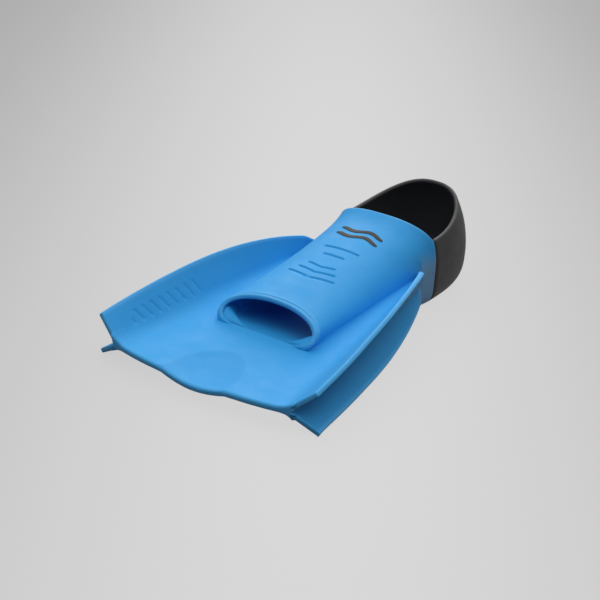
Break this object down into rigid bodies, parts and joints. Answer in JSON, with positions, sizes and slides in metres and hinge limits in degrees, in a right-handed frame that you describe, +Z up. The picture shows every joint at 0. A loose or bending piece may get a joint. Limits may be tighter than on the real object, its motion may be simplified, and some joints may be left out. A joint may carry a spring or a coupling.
{
  "type": "swim fin",
  "caption": "Short-blade training swim fin of two-colour moulded silicone: open-toe foot pocket, forked side rails on the blade and a flexible heel cup.",
  "frame": {"origin": "on the floor under the fin, at the middle of its length and width", "axes": "+Y from the blade tip to the heel, +Z up from the floor, +X to one side; the fin is the same on both sides of X = 0"},
  "size_m": [0.2008, 0.367, 0.0823],
  "materials": {
    "blue_silicone": "satin moulded silicone, bright blue",
    "black_silicone": "satin moulded silicone, black",
    "mark_inlay": "satin silicone inlay, black"
  },
  "bodies": {
    "foot_pocket": {"sole": "blue_silicone", "vamp": "blue_silicone", "toe_rim": "blue_silicone", "lap_flange": "black_silicone", "flex_zone": "blue_silicone", "wave_mark_front": "mark_inlay", "wave_mark_rear": "mark_inlay", "pocket_rail_upper_left": "blue_silicone", "pocket_rail_lower_left": "blue_silicone", "pocket_rail_upper_right": "blue_silicone", "pocket_rail_lower_right": "blue_silicone"},
    "blade": {"blade_panel": "blue_silicone", "blade_rail_upper_left": "blue_silicone", "blade_rail_lower_left": "blue_silicone", "blade_rail_upper_right": "blue_silicone", "blade_rail_lower_right": "blue_silicone"},
    "heel_cup": {"heel_cup": "black_silicone", "heel_collar": "black_silicone"}
  },
  "joints": [
    {"name": "blade_flex", "type": "hinge", "parent": "foot_pocket", "child": "blade", "pos_m": [0, -0.111, 0.0185], "axis": [1, 0, 0], "range_deg": [-25, 25], "stiffness_Nm_per_rad": 4, "deforming": ["flex_zone"]},
    {"name": "heel_flex", "type": "hinge", "parent": "foot_pocket", "child": "heel_cup", "pos_m": [0, 0.0874, 0], "axis": [-1, 0, 0], "range_deg": [0, 25], "stiffness_Nm_per_rad": 1.5}
  ]
}
